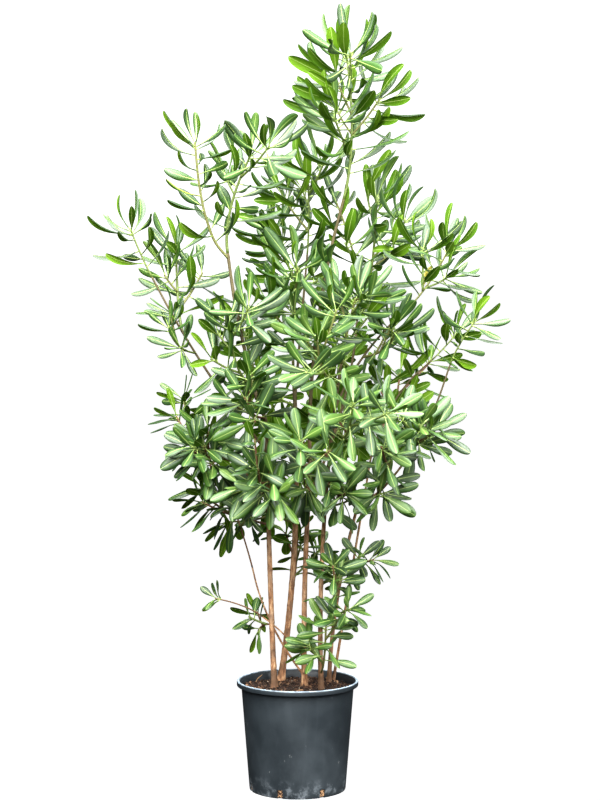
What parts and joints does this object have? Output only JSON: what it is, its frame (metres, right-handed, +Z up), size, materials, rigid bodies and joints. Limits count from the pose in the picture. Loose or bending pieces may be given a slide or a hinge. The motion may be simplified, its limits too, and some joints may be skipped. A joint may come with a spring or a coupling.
{
  "type": "potted japanese pittosporum shrub",
  "caption": "Evergreen shrub of several bare stems with whorls of blunt glossy leaves, growing in a tapered black nursery pot.",
  "frame": {"origin": "centre of the pot's flat underside", "axes": "+Z up along the plant's height, -Y towards the front of the plant as pictured, +X to its right"},
  "size_m": [0.9913, 0.8804, 1.939],
  "materials": {
    "charcoal_plastic": "scuffed matte charcoal polypropylene",
    "potting_soil": "loose brown bark and peat mix",
    "bark": "tan-brown bark with small pale lenticels",
    "leaf_green": "leathery green leaves, glossy above and matte below"
  },
  "bodies": {
    "root": {"pot": "charcoal_plastic", "soil": "potting_soil", "stem_left": "bark", "stem_back": "bark", "stem_middle": "bark", "stem_front": "bark", "stem_right": "bark", "stem_far_right": "bark", "stem_thin_left": "bark", "bough_leader": "bark", "bough_middle_right": "bark", "bough_left_top": "bark", "bough_far_left": "bark", "bough_back_top": "bark", "bough_right_top": "bark", "bough_right_middle": "bark", "bough_right_low": "bark", "bough_left_middle": "bark", "twig_low_left": "bark", "leaves_top": "leaf_green", "leaves_left_peak": "leaf_green", "leaves_left_high": "leaf_green", "leaves_left_upright": "leaf_green", "leaves_far_left": "leaf_green", "leaves_left_outer": "leaf_green", "leaves_left_inner": "leaf_green", "leaves_centre_high": "leaf_green", "leaves_centre": "leaf_green", "leaves_centre_right": "leaf_green", "leaves_right_peak": "leaf_green", "leaves_front_high": "leaf_green", "leaves_right_high": "leaf_green", "leaves_right_back": "leaf_green", "leaves_far_right": "leaf_green", "leaves_right_low": "leaf_green", "leaves_right_inner": "leaf_green", "leaves_left_wide": "leaf_green", "leaves_left_middle": "leaf_green", "leaves_left_front": "leaf_green", "leaves_left_shoulder": "leaf_green", "leaves_left_low": "leaf_green", "leaves_thin_stem": "leaf_green", "leaves_low_twig": "leaf_green", "leaves_low_cluster": "leaf_green", "leaves_right_foot": "leaf_green", "leaves_stem_shoot": "leaf_green", "leaves_stem_back": "leaf_green", "leaves_sucker": "leaf_green", "leaves_young": "leaf_green", "leaves_front_middle": "leaf_green", "leaves_front_right": "leaf_green", "leaves_front_centre": "leaf_green", "leaves_front_low_right": "leaf_green", "leaves_back_middle": "leaf_green", "leaves_back_right": "leaf_green", "leaves_back_left": "leaf_green", "leaves_back_high": "leaf_green", "leaves_back_far_right": "leaf_green", "leaves_back_top": "leaf_green", "leaves_back_low_left": "leaf_green"}
  },
  "joints": []
}
